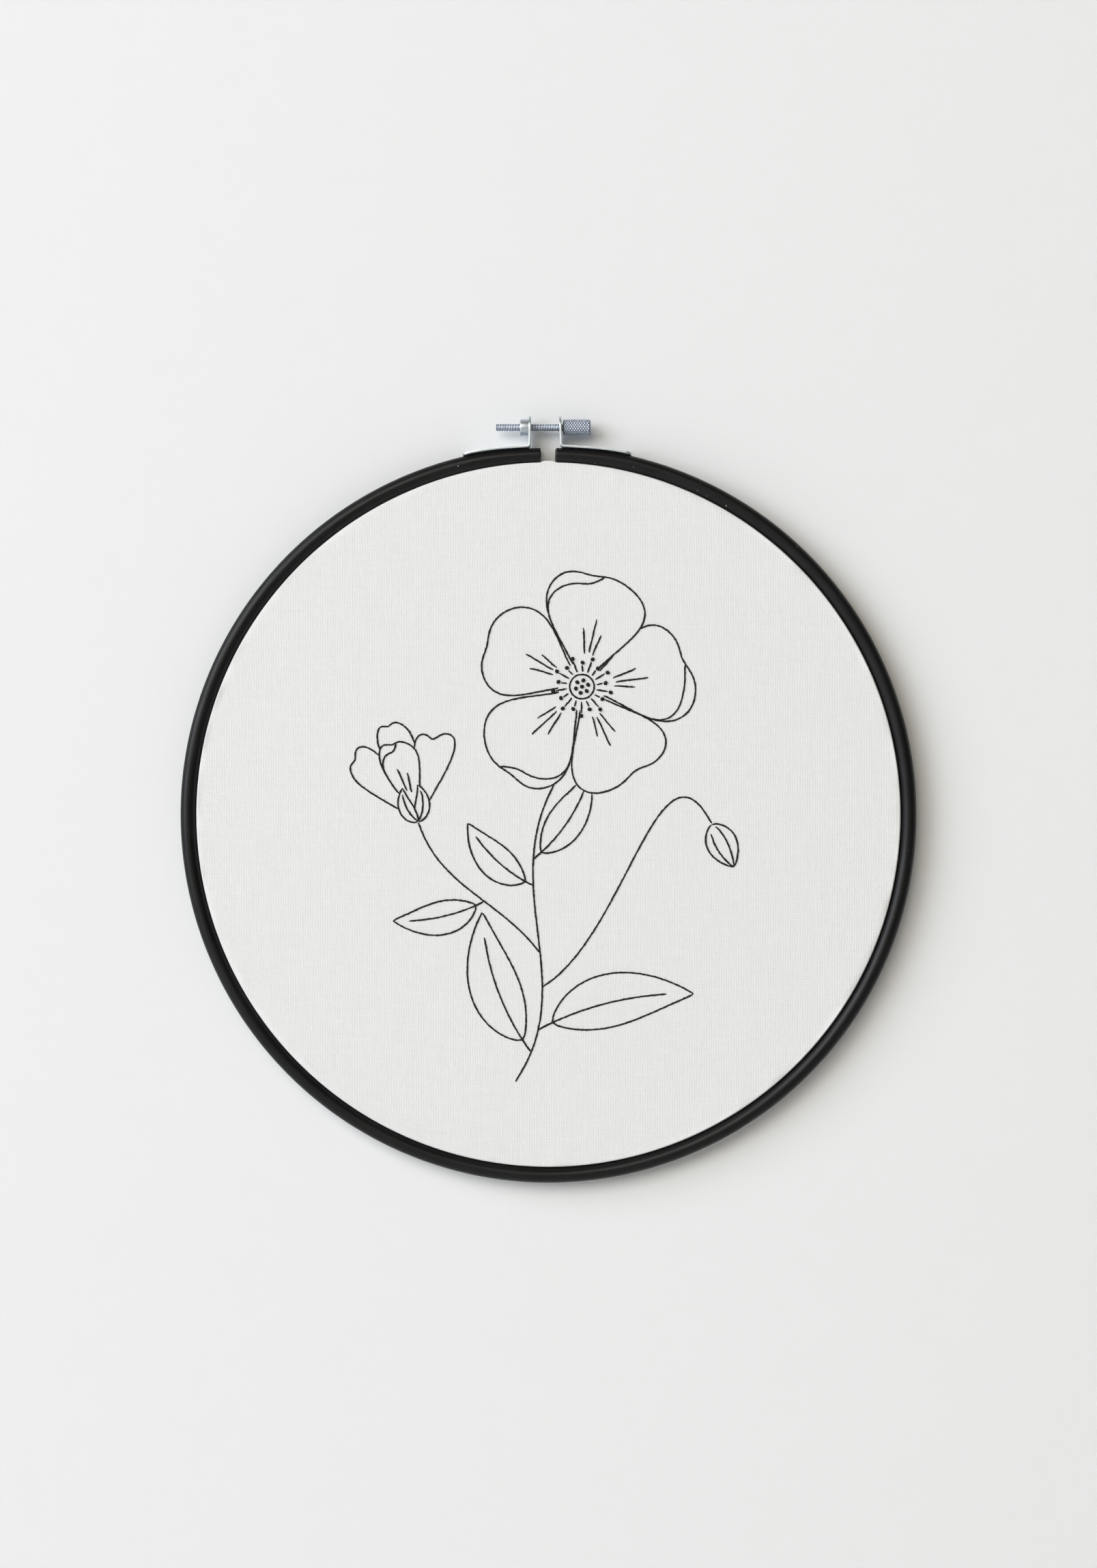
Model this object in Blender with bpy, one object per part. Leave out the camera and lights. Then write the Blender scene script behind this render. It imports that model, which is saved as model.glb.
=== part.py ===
"""Embroidered cloth stretched in a round embroidery hoop with a screw clamp.

The hoop's axis runs along Y. Its front faces -Y and its back lies in the wall plane, y = 0.
The world origin is where a nail in the wall carries the work: the top of the inner hoop's
inner wall, at the back. All lengths are in metres.
"""

import math

import bmesh
import bpy
from mathutils import Matrix, Vector

MM = 0.001

# Fit between neighbouring pieces
GAP = 0.3 * MM

# Outer hoop: a bent wooden ring with a half-round front, split at the top
BORE_RADIUS = 127.0 * MM
RING_WIDTH = 5.5 * MM
HOOP_DEPTH = 9.5 * MM
BACK_ROUND = 0.6 * MM
SPLIT_LEFT = 2.8 * MM
SPLIT_RIGHT = 2.3 * MM
RING_STEPS = 96
# Near the split its outer side is planed down a little, as a seat for the brackets
SEAT_DROP = 0.5 * MM
SEAT_FLAT = 8.0 * MM
SEAT_END = 26.0 * MM

# Cloth: a sheet drawn over the inner hoop and clamped between the two
CLOTH_THICK = 1.0 * MM
CLOTH_FRONT = 8.4 * MM
CLOTH_HEM = 0.5 * MM

# Inner hoop: a plain wooden ring
INNER_WALL = 4.4 * MM
INNER_ROUND = 1.0 * MM
INNER_BREAK = 0.4 * MM

# Clamp screw: its axis lies along X, above the split
SCREW_HEIGHT = 139.5 * MM
SCREW_DEPTH = 4.75 * MM
SCREW_RADIUS = 1.45 * MM
SCREW_LEFT_END = -18.9 * MM
SCREW_TIP = 0.4 * MM
HEAD_RADIUS = 3.0 * MM
HEAD_START = 5.2 * MM
HEAD_END = 15.1 * MM
HEAD_CHAMFER = 0.45 * MM

# Clinch nut: a smooth round collar on the left ear
NUT_RADIUS = 3.05 * MM
NUT_LENGTH = 2.9 * MM
NUT_CHAMFER = 0.3 * MM

# Brackets: sheet strips along the hoop, bent up into ears that the screw passes through
SHEET = 0.8 * MM
STRIP_WIDTH = 8.0 * MM
BEND_RADIUS = 1.0 * MM
EAR_LEFT_X = -6.7 * MM
EAR_RIGHT_X = 4.35 * MM
EAR_LEFT_LEAN = math.radians(0.6)
EAR_RIGHT_LEAN = math.radians(-2.2)
STRIP_LEFT_END = 30.9 * MM
STRIP_RIGHT_END = 29.9 * MM
STRIP_CORNER = 2.0 * MM
CORNER_STEPS = 4
STRIP_STEPS = 9
BEND_STEPS = 5
EAR_TOP_STEPS = 10

TURNED_STEPS = 32
WELD = 1e-6

# Sizes that follow from those above
RING_MIDDLE = BORE_RADIUS + RING_WIDTH / 2
CLOTH_RADIUS = BORE_RADIUS - GAP
INNER_RADIUS = CLOTH_RADIUS - CLOTH_THICK - GAP
INNER_BORE = INNER_RADIUS - INNER_WALL
INNER_FRONT = CLOTH_FRONT - CLOTH_THICK - GAP
CLEAR_HOLE = SCREW_RADIUS + GAP + 0.05 * MM


def clear_scene():
    for thing in list(bpy.data.objects):
        bpy.data.objects.remove(thing, do_unlink=True)


def arc(centre, radius, start, end, steps):
    """Points of an arc in a plane, from start to end degrees."""
    points = []
    for i in range(steps + 1):
        angle = math.radians(start + (end - start) * i / steps)
        points.append((centre[0] + radius * math.cos(angle), centre[1] + radius * math.sin(angle)))
    return points


def plain_material(name, colour, roughness, metallic=0.0):
    material = bpy.data.materials.new(name)
    material.use_nodes = True
    shader = material.node_tree.nodes["Principled BSDF"]
    shader.inputs["Base Color"].default_value = (*colour, 1.0)
    shader.inputs["Roughness"].default_value = roughness
    shader.inputs["Metallic"].default_value = metallic
    return material


def add_object(name, bm, material, parent, smooth_below=40):
    """Turns a finished bmesh into an object under its parent empty."""
    bmesh.ops.recalc_face_normals(bm, faces=bm.faces)
    mesh = bpy.data.meshes.new(name)
    bm.to_mesh(mesh)
    bm.free()
    mesh.shade_smooth()
    mesh.set_sharp_from_angle(angle=math.radians(smooth_below))
    mesh.materials.append(material)
    thing = bpy.data.objects.new(name, mesh)
    bpy.context.scene.collection.objects.link(thing)
    thing.parent = parent
    return thing


def add_empty(name, location, parent=None):
    empty = bpy.data.objects.new(name, None)
    bpy.context.scene.collection.objects.link(empty)
    empty.location = location
    empty.parent = parent
    return empty


def draw_outline(bm, points, closed):
    """Vertices and edges through the points."""
    verts = [bm.verts.new(p) for p in points]
    pairs = list(zip(verts, verts[1:]))
    if closed:
        pairs.append((verts[-1], verts[0]))
    return verts + [bm.edges.new(pair) for pair in pairs]


def around_hoop(outline, closed):
    """A full turn of a (radius, depth) outline about the hoop's axis."""
    bm = bmesh.new()
    geometry = draw_outline(bm, [(0, -depth, radius) for radius, depth in outline], closed)
    bmesh.ops.spin(
        bm, geom=geometry, cent=(0, 0, 0), axis=(0, 1, 0), angle=math.tau, steps=RING_STEPS, use_merge=True
    )
    bmesh.ops.remove_doubles(bm, verts=bm.verts, dist=WELD)
    return bm


def around_screw(outline, closed):
    """A full turn of an (x, radius) outline about the screw's axis."""
    bm = bmesh.new()
    geometry = draw_outline(bm, [(x, 0, radius) for x, radius in outline], closed)
    bmesh.ops.spin(
        bm, geom=geometry, cent=(0, 0, 0), axis=(1, 0, 0), angle=math.tau, steps=TURNED_STEPS, use_merge=True
    )
    bmesh.ops.remove_doubles(bm, verts=bm.verts, dist=WELD)
    return bm


def seat_drop(angle):
    """How far the outer hoop's outside is planed down at an angle from the top."""
    along = BORE_RADIUS * abs(angle)
    share = min(1.0, max(0.0, (along - SEAT_FLAT) / (SEAT_END - SEAT_FLAT)))
    return SEAT_DROP * (1 - share * share * (3 - 2 * share))


def ring_outside(angle):
    """The outer hoop's outer radius at an angle from the top."""
    return BORE_RADIUS + RING_WIDTH - seat_drop(angle)


def ring_section():
    """The outer hoop's section as (radius, depth): flat back, half-round front."""
    inside = BORE_RADIUS
    outside = BORE_RADIUS + RING_WIDTH
    half = RING_WIDTH / 2
    points = arc((outside - BACK_ROUND, BACK_ROUND), BACK_ROUND, -90, 0, 2)
    points += arc((RING_MIDDLE, HOOP_DEPTH - half), half, 0, 180, 10)
    points += arc((inside + BACK_ROUND, BACK_ROUND), BACK_ROUND, 180, 270, 2)
    return points


def make_outer_hoop(parent, material):
    bm = bmesh.new()
    first = math.asin(SPLIT_RIGHT / RING_MIDDLE)
    last = math.asin(SPLIT_LEFT / RING_MIDDLE)
    geometry = draw_outline(bm, [(0, -depth, radius) for radius, depth in ring_section()], True)
    bmesh.ops.rotate(bm, verts=bm.verts, cent=(0, 0, 0), matrix=Matrix.Rotation(first, 3, "Y"))
    bmesh.ops.spin(
        bm, geom=geometry, cent=(0, 0, 0), axis=(0, 1, 0), angle=math.tau - first - last, steps=RING_STEPS
    )
    bmesh.ops.holes_fill(bm, edges=[e for e in bm.edges if e.is_boundary], sides=0)
    for vert in bm.verts:
        radius = math.hypot(vert.co.x, vert.co.z)
        drop = seat_drop(math.atan2(vert.co.x, vert.co.z))
        planed = BORE_RADIUS + (radius - BORE_RADIUS) * (1 - drop / RING_WIDTH)
        vert.co.x *= planed / radius
        vert.co.z *= planed / radius
    return add_object("outer_hoop", bm, material, parent)


def make_inner_hoop(parent, material):
    centre = (INNER_RADIUS - INNER_ROUND, INNER_FRONT - INNER_ROUND)
    outline = [(INNER_BORE + INNER_BREAK, 0), (INNER_RADIUS - INNER_BREAK, 0), (INNER_RADIUS, INNER_BREAK)]
    outline += arc(centre, INNER_ROUND, 0, 90, 3)
    outline += [(INNER_BORE + INNER_BREAK, INNER_FRONT), (INNER_BORE, INNER_FRONT - INNER_BREAK)]
    outline += [(INNER_BORE, INNER_BREAK)]
    return add_object("inner_hoop", around_hoop(outline, True), material, parent)


def make_cloth(parent, material):
    """A drum skin: a flat disc whose rim turns back between the hoops."""
    turn = INNER_ROUND + GAP
    centre = (INNER_RADIUS - INNER_ROUND, INNER_FRONT - INNER_ROUND)
    outline = [(0, CLOTH_FRONT)]
    outline += arc(centre, turn + CLOTH_THICK, 90, 0, 6)
    outline += [(CLOTH_RADIUS, CLOTH_HEM), (CLOTH_RADIUS - CLOTH_THICK, CLOTH_HEM)]
    outline += arc(centre, turn, 0, 90, 4)
    outline += [(0, CLOTH_FRONT - CLOTH_THICK)]
    return add_object("cloth", around_hoop(outline, False), material, parent)


def make_nut(parent, material):
    start = EAR_LEFT_X - SHEET / 2 - GAP - NUT_LENGTH
    end = start + NUT_LENGTH
    outline = [(start, CLEAR_HOLE), (start, NUT_RADIUS - NUT_CHAMFER), (start + NUT_CHAMFER, NUT_RADIUS)]
    outline += [(end - NUT_CHAMFER, NUT_RADIUS), (end, NUT_RADIUS - NUT_CHAMFER), (end, CLEAR_HOLE)]
    return add_object("nut", around_screw(outline, True), material, parent)


def make_thumb_screw(parent, material):
    """The shaft and its knurled head in one piece, both at their outer size."""
    outline = [(SCREW_LEFT_END, 0), (SCREW_LEFT_END, SCREW_RADIUS - SCREW_TIP)]
    outline += [(SCREW_LEFT_END + SCREW_TIP, SCREW_RADIUS), (HEAD_START, SCREW_RADIUS)]
    outline += [(HEAD_START, HEAD_RADIUS - HEAD_CHAMFER), (HEAD_START + HEAD_CHAMFER, HEAD_RADIUS)]
    outline += [(HEAD_END - HEAD_CHAMFER, HEAD_RADIUS), (HEAD_END, HEAD_RADIUS - HEAD_CHAMFER), (HEAD_END, 0)]
    return add_object("thumb_screw", around_screw(outline, False), material, parent)


def strip_middle(angle):
    """Radius of a bracket strip's middle surface at an angle from the top."""
    return ring_outside(angle) + GAP + SHEET / 2


def bend_centre(side, ear_x, lean):
    """Centre of the bend between strip and ear, and the direction up the ear.

    The bend's circle touches the strip's circle from outside and the ear's line on the side
    away from the split.
    """
    up = Vector((math.sin(lean), math.cos(lean)))
    away = Vector((side * up.y, -side * up.x))
    start = Vector((ear_x, SCREW_HEIGHT)) + away * BEND_RADIUS
    reach = strip_middle(ear_x / BORE_RADIUS) + BEND_RADIUS
    along = start.dot(up)
    down = -along + math.sqrt(along * along - start.dot(start) + reach * reach)
    return start + up * down, up, away


def strip_stations(length):
    """Places along a strip with its half width there: a rounded far end, then the full width."""
    half = STRIP_WIDTH / 2
    stations = []
    for i in range(CORNER_STEPS):
        angle = math.pi / 2 * i / CORNER_STEPS
        stations.append((STRIP_CORNER * (1 - math.cos(angle)), half - STRIP_CORNER * (1 - math.sin(angle))))
    for i in range(STRIP_STEPS + 1):
        stations.append((STRIP_CORNER + (length - STRIP_CORNER) * i / STRIP_STEPS, half))
    return stations


def bracket_path(side, ear_x, lean, end_x):
    """Points of a bracket's middle line, each with the half width there.

    It runs from the strip's far end along the hoop, then round the bend to the ear's foot.
    """
    centre, up, away = bend_centre(side, ear_x, lean)
    near = math.atan2(centre.x, centre.y)
    far = side * math.asin(end_x / strip_middle(SEAT_END / BORE_RADIUS))
    path = []
    for along, half in strip_stations(abs(far - near) * BORE_RADIUS):
        angle = far - side * along / BORE_RADIUS
        path.append((Vector((math.sin(angle), math.cos(angle))) * strip_middle(angle), half))
    first = math.atan2(-centre.y, -centre.x)
    last = math.atan2(-away.y, -away.x)
    turn = (last - first + math.pi) % math.tau - math.pi
    for i in range(1, BEND_STEPS + 1):
        angle = first + turn * i / BEND_STEPS
        path.append((centre + Vector((math.cos(angle), math.sin(angle))) * BEND_RADIUS, STRIP_WIDTH / 2))
    return path, up


def ear_outline(rise):
    """The ear's edge as (across, up from the hole's centre), from its foot and round the top."""
    half = STRIP_WIDTH / 2
    foot = [(half * share, -rise) for share in (-1.0, -0.5, 0.0, 0.5, 1.0)]
    return foot + [(half, -rise / 2)] + arc((0, 0), half, 0, 180, EAR_TOP_STEPS) + [(-half, -rise / 2)]


def make_bracket(name, side, ear_x, lean, end_x, parent, material):
    """The bracket's middle surface, given the sheet's thickness by a Solidify modifier."""
    path, up = bracket_path(side, ear_x, lean, end_x)
    bm = bmesh.new()
    rows = []
    for point, half in path:
        across = [half * share for share in (-1.0, -0.5, 0.0, 0.5, 1.0)]
        rows.append([bm.verts.new((point.x, v - SCREW_DEPTH, point.y)) for v in across])
    for low, high in zip(rows, rows[1:]):
        for i in range(len(low) - 1):
            bm.faces.new((low[i], low[i + 1], high[i + 1], high[i]))

    foot, _ = path[-1]
    rise = (SCREW_HEIGHT - foot.y) / up.y
    hole = Vector((ear_x, SCREW_HEIGHT))

    def on_ear(across, rise_here):
        place = hole + up * rise_here
        return (place.x, across - SCREW_DEPTH, place.y)

    edge = ear_outline(rise)
    outer = rows[-1] + [bm.verts.new(on_ear(*p)) for p in edge[len(rows[-1]) :]]
    inner = []
    for across, rise_here in edge:
        share = CLEAR_HOLE / math.hypot(across, rise_here)
        inner.append(bm.verts.new(on_ear(across * share, rise_here * share)))
    for i in range(len(outer)):
        j = (i + 1) % len(outer)
        bm.faces.new((outer[i], outer[j], inner[j], inner[i]))

    thing = add_object(name, bm, material, parent)
    thick = thing.modifiers.new("sheet", "SOLIDIFY")
    thick.thickness = SHEET
    thick.offset = 0
    thick.use_even_offset = True
    return thing


def main():
    clear_scene()
    bpy.context.scene.unit_settings.system = "METRIC"

    black_paint = plain_material("black_paint", (0.012, 0.012, 0.013), 0.38)
    pale_wood = plain_material("pale_wood", (0.62, 0.45, 0.28), 0.6)
    linen = plain_material("linen", (0.84, 0.82, 0.79), 0.9)
    zinc = plain_material("zinc", (0.62, 0.64, 0.65), 0.35, 1.0)
    steel = plain_material("steel", (0.42, 0.46, 0.52), 0.3, 1.0)

    hoop_centre = add_empty("hoop_centre", (0, 0, -INNER_BORE))
    screw_axis = add_empty("screw_axis", (0, -SCREW_DEPTH, SCREW_HEIGHT), hoop_centre)

    make_outer_hoop(hoop_centre, black_paint)
    make_inner_hoop(hoop_centre, pale_wood)
    make_cloth(hoop_centre, linen)
    make_bracket("bracket_left", -1, EAR_LEFT_X, EAR_LEFT_LEAN, STRIP_LEFT_END, hoop_centre, zinc)
    make_bracket("bracket_right", 1, EAR_RIGHT_X, EAR_RIGHT_LEAN, STRIP_RIGHT_END, hoop_centre, zinc)
    make_nut(screw_axis, zinc)
    make_thumb_screw(screw_axis, steel)


main()
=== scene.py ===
"""The looks of a line embroidery in a round embroidery hoop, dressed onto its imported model.

The hoop hangs on a wall in the plane y = 0 and its front faces -Y. Lengths are in metres.
Angles round the hoop are in radians from its top towards +X, and depths are measured from
the wall towards the viewer.
"""

import math

import bmesh
import bpy
import numpy as np
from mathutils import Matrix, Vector, noise


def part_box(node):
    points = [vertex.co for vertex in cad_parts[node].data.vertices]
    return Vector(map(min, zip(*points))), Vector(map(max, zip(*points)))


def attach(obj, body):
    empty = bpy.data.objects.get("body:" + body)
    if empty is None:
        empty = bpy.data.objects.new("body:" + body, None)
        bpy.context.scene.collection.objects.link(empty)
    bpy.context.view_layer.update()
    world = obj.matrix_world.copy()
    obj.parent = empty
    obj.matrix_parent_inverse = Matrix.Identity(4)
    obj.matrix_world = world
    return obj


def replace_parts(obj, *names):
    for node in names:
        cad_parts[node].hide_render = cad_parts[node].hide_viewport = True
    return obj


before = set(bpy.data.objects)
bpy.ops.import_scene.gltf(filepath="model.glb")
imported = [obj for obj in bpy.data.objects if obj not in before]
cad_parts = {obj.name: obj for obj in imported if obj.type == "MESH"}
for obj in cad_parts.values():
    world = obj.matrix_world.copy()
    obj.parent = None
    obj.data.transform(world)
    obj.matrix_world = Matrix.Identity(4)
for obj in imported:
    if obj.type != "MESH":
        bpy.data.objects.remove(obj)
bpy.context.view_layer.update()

MM = 0.001

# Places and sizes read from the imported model
CLOTH_LOW, CLOTH_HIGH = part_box("cloth")
INNER_LOW, INNER_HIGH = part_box("inner_hoop")
RING_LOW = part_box("outer_hoop")[0]
SCREW_LOW, SCREW_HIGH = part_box("thumb_screw")
NUT_LOW, NUT_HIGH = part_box("nut")
HOOP_Z = (CLOTH_LOW.z + CLOTH_HIGH.z) / 2
CLOTH_RADIUS = CLOTH_HIGH.x
CLOTH_FRONT = -CLOTH_LOW.y
CLOTH_HEM = -CLOTH_HIGH.y
INNER_RADIUS = INNER_HIGH.x
INNER_FRONT = -INNER_LOW.y
HOOP_DEPTH = -RING_LOW.y
SCREW_Y = (SCREW_LOW.y + SCREW_HIGH.y) / 2
SCREW_Z = (SCREW_LOW.z + SCREW_HIGH.z) / 2
HEAD_RADIUS = (SCREW_HIGH.z - SCREW_LOW.z) / 2
NUT_RADIUS = (NUT_HIGH.z - NUT_LOW.z) / 2

# Sizes of the construction that its boxes don't state
GAP = 0.3 * MM
BORE_RADIUS = CLOTH_RADIUS + GAP
RING_WIDTH = 5.5 * MM
RING_MIDDLE = BORE_RADIUS + RING_WIDTH / 2
BACK_ROUND = 0.6 * MM
SPLIT_LEFT = 2.8 * MM
SPLIT_RIGHT = 2.3 * MM
SEAT_DROP = 0.5 * MM
SEAT_FLAT = 8.0 * MM
SEAT_END = 26.0 * MM
INNER_WALL = 4.4 * MM
INNER_BORE = INNER_RADIUS - INNER_WALL
INNER_ROUND = 1.0 * MM
INNER_EDGE = 0.4 * MM
SHAFT_RADIUS = 1.45 * MM
HEAD_START = 5.2 * MM
SHEET = 0.8 * MM
STRIP_WIDTH = 8.0 * MM
BEND_RADIUS = 1.0 * MM
EAR_LEFT_X = -6.7 * MM
EAR_RIGHT_X = 4.35 * MM
EAR_LEFT_LEAN = math.radians(0.6)
EAR_RIGHT_LEAN = math.radians(-2.2)
STRIP_LEFT_END = 30.9 * MM
STRIP_RIGHT_END = 29.9 * MM
STRIP_CORNER = 2.0 * MM
STRIP_COLUMNS = 9
EAR_HOLE = 1.8 * MM

# Finer detail that is added here
ARRIS = 0.25 * MM
END_SLANT = 0.6 * MM
SLANT_REACH = 1 / 12
BROKEN_EDGE = 0.14 * MM
LINEN_THICK = 0.6 * MM
RIM_ROUND = 0.6 * MM
CLOTH_WIDEST = CLOTH_FRONT - RIM_ROUND
GAP_BULGE = 0.6 * MM
WAVE_LENGTH = 50 * MM
WAVE_HEIGHT = 0.05 * MM
PULL_HEIGHT = 0.09 * MM
PULLS_AROUND = 16
FRAY = 0.25 * MM
DISC_STEPS = 132
THREAD_PITCH = 0.6 * MM
THREAD_DEPTH = 0.3 * MM
SCREW_CHAMFER = 0.5 * MM
KNURL_PITCH = 0.93 * MM
KNURL_AROUND = 12
KNURL_DEPTH = 0.27 * MM
WEAVE_PITCH = 0.885 * MM

# The stitches
STITCH_LENGTH = 2.0 * MM
STITCH_ADVANCE = 0.78 * MM
STRAND_HALF_WIDTH = 0.25 * MM
STRAND_HALF_HEIGHT = 0.19 * MM
STRAND_UNEVEN = 0.12
STRAND_DRIFT = 0.03 * MM
STITCH_SLANT = 0.16 * MM
STITCH_RISE = 0.16 * MM
STITCH_DIVE = 0.16 * MM
BACK_STITCH_LENGTH = 1.5 * MM
BACK_STITCH_ADVANCE = 1.66 * MM
KNOT_RADIUS = 0.68 * MM
KNOT_HALF_HEIGHT = 0.45 * MM
KNOT_LIFT = 0.3 * MM

# The photograph: its viewpoint and the height of wall that it shows
VIEW_DISTANCE = 1.3
VIEW_HEIGHT = 0.5644
VIEW_ABOVE_CENTRE = 0.011
WALL_BEHIND = 0.5 * MM
FLOOR_Z = -1.5
WALL_HALF_WIDTH = 8.0
WALL_TOP = 3.0
FLOOR_HALF_WIDTH = 60.0
BACKGROUND = (0.8, 0.8, 0.79)

# A wide window to the left and a little above, and a weaker, warmer glow from the pale ceiling
WINDOW_OFF_NORMAL = math.radians(53)
WINDOW_ABOVE_LEFT = math.radians(23)
WINDOW_DISTANCE = 6.0
WINDOW_WIDTH = 5.0
WINDOW_POWER = 334
CEILING_OFF_NORMAL = math.radians(26)
CEILING_ABOVE_LEFT = math.radians(60)
CEILING_WIDTH = 3.2
CEILING_POWER = 108
ROOM_STRENGTH = 0.115
DAYLIGHT = (0.872, 0.924, 1.0)
WARM_LIGHT = (1.0, 0.94, 0.81)

# A light behind the wall, which shows the back to whoever looks from there
BEHIND_PLACE = Vector((0.9, 3.0, 1.05))
BEHIND_WIDTH = 2.5
BEHIND_POWER = 62
BEHIND_COLOUR = (0.97, 0.985, 1.0)


# Shapes from grids of points


def grid_quads(rows, columns, close_rows=False, close_columns=False):
    """The quads of a grid whose points are stored row by row."""
    i = np.arange(rows if close_rows else rows - 1)[:, None]
    j = np.arange(columns if close_columns else columns - 1)[None, :]
    next_i = (i + 1) % rows
    next_j = (j + 1) % columns
    corners = (i * columns + j, i * columns + next_j, next_i * columns + next_j, next_i * columns + j)
    return np.stack(np.broadcast_arrays(*corners), axis=-1).reshape(-1, 4)


def hoop_points(angle, radius, depth):
    """Points round the hoop's axis."""
    angle, radius, depth = np.broadcast_arrays(angle, radius, depth)
    return np.stack([radius * np.sin(angle), -depth, HOOP_Z + radius * np.cos(angle)], axis=-1)


def screw_points(x, radius, angle):
    """Points round the clamp screw's axis."""
    x, radius, angle = np.broadcast_arrays(x, radius, angle)
    return np.stack([x, SCREW_Y - radius * np.sin(angle), SCREW_Z + radius * np.cos(angle)], axis=-1)


def finish_piece(name, bm, material, body, sharp_above=40):
    """Turns a bmesh into a piece that rides on a body."""
    bmesh.ops.recalc_face_normals(bm, faces=bm.faces)
    mesh = bpy.data.meshes.new(name)
    bm.to_mesh(mesh)
    bm.free()
    mesh.shade_smooth()
    mesh.set_sharp_from_angle(angle=math.radians(sharp_above))
    mesh.materials.append(material)
    piece = bpy.data.objects.new(name, mesh)
    bpy.context.scene.collection.objects.link(piece)
    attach(piece, body)
    return piece


def grid_piece(name, points, faces, material, body, sharp_above=40):
    """A piece from an array of points and lists of faces."""
    mesh = bpy.data.meshes.new(name + "_points")
    mesh.from_pydata(points.reshape(-1, 3).tolist(), [], faces)
    bm = bmesh.new()
    bm.from_mesh(mesh)
    bpy.data.meshes.remove(mesh)
    return finish_piece(name, bm, material, body, sharp_above)


def arc(centre, radius, start, end, steps):
    """Points of an arc in a plane, from start to end degrees."""
    angles = np.radians(np.linspace(start, end, steps + 1))
    return np.stack([centre[0] + radius * np.cos(angles), centre[1] + radius * np.sin(angles)], axis=-1)


def zigzag(value):
    """Rises from 0 at each whole number to 1 halfway to the next, and falls again."""
    return 1 - 2 * np.abs(value - np.floor(value) - 0.5)


# The outer hoop


def seat_drop(angle):
    """How far the outer hoop's outside is planed down at an angle from the top."""
    share = np.clip((BORE_RADIUS * np.abs(angle) - SEAT_FLAT) / (SEAT_END - SEAT_FLAT), 0, 1)
    return SEAT_DROP * (1 - share * share * (3 - 2 * share))


def make_outer_hoop(material):
    """The split ring, with broken edges at its two ends, the right one cut a little aslant."""
    half = RING_WIDTH / 2
    outside = BORE_RADIUS + RING_WIDTH
    back_outer = arc((outside - BACK_ROUND, BACK_ROUND), BACK_ROUND, -90, 0, 5)
    front = arc((RING_MIDDLE, HOOP_DEPTH - half), half, 0, 180, 28)
    back_inner = arc((BORE_RADIUS + BACK_ROUND, BACK_ROUND), BACK_ROUND, 180, 270, 5)
    flank = np.linspace(back_outer[-1], front[0], 5)[1:-1]
    section = np.concatenate([back_outer, flank, front, flank[::-1] - (RING_WIDTH, 0), back_inner])

    first = math.asin(SPLIT_RIGHT / RING_MIDDLE)
    last = math.tau - math.asin(SPLIT_LEFT / RING_MIDDLE)
    inset = np.array([ARRIS, ARRIS * 0.3, 0])
    ends = np.array([0, ARRIS * 0.3, ARRIS]) / RING_MIDDLE
    middle = np.linspace(first + 2 * ends[-1], last - 2 * ends[-1], 481)
    angles = np.concatenate([first + ends, middle, last - ends[::-1]])[:, None]
    insets = np.concatenate([inset, np.zeros(len(middle)), inset[::-1]])[:, None]

    radius = RING_MIDDLE + (section[:, 0] - RING_MIDDLE) * (1 - insets / half)
    depth = HOOP_DEPTH / 2 + (section[:, 1] - HOOP_DEPTH / 2) * (1 - 2 * insets / HOOP_DEPTH)
    from_top = np.abs((angles + math.pi) % math.tau - math.pi)
    radius = BORE_RADIUS + (radius - BORE_RADIUS) * (1 - seat_drop(from_top) / RING_WIDTH)
    slant = END_SLANT * depth / HOOP_DEPTH * np.clip(1 - (angles - first) / SLANT_REACH, 0, 1)
    points = hoop_points(angles + slant / RING_MIDDLE, radius, depth)
    rows, columns = points.shape[:2]
    faces = grid_quads(rows, columns, close_columns=True).tolist()
    faces += [list(range(columns)), list(range((rows - 1) * columns, rows * columns))]
    ring = grid_piece("black_ring", points, faces, material, "hoop", 50)
    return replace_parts(ring, "outer_hoop")


# The inner hoop


def make_inner_hoop(material):
    """The plain ring behind the linen, with rounded edges."""
    low = arc((INNER_RADIUS - INNER_EDGE, INNER_EDGE), INNER_EDGE, -90, 0, 4)
    high = arc((INNER_RADIUS - INNER_ROUND, INNER_FRONT - INNER_ROUND), INNER_ROUND, 0, 90, 8)
    inner_high = arc((INNER_BORE + INNER_EDGE, INNER_FRONT - INNER_EDGE), INNER_EDGE, 90, 180, 4)
    inner_low = arc((INNER_BORE + INNER_EDGE, INNER_EDGE), INNER_EDGE, 180, 270, 4)
    section = np.concatenate([low, high, inner_high, inner_low])
    angles = np.linspace(0, math.tau, 240, endpoint=False)[:, None]
    points = hoop_points(angles, section[:, 0], section[:, 1])
    faces = grid_quads(*points.shape[:2], close_rows=True, close_columns=True).tolist()
    ring = grid_piece("wooden_ring", points, faces, material, "hoop")
    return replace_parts(ring, "inner_hoop")


# The linen


def square_to_disc(steps):
    """A square grid bent into a disc of radius 1, as two arrays."""
    side = np.linspace(-1, 1, steps + 1)
    u, v = np.meshgrid(side, side, indexing="ij")
    wide = np.abs(u) > np.abs(v)
    safe_u = np.where(wide, u, 1)
    safe_v = np.where(wide | (v == 0), 1, v)
    radius = np.where(wide, u, v)
    angle = np.where(wide, math.pi / 4 * v / safe_u, math.pi / 2 - math.pi / 4 * u / safe_v)
    return radius * np.cos(angle), radius * np.sin(angle)


def square_edge(count):
    """The places round the edge of a square grid, in order, with count points a side."""
    rising = np.arange(count - 1)
    falling = count - 1 - rising
    sides = (rising, rising * count + count - 1, (count - 1) * count + falling, falling * count)
    return np.concatenate(sides)


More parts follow.
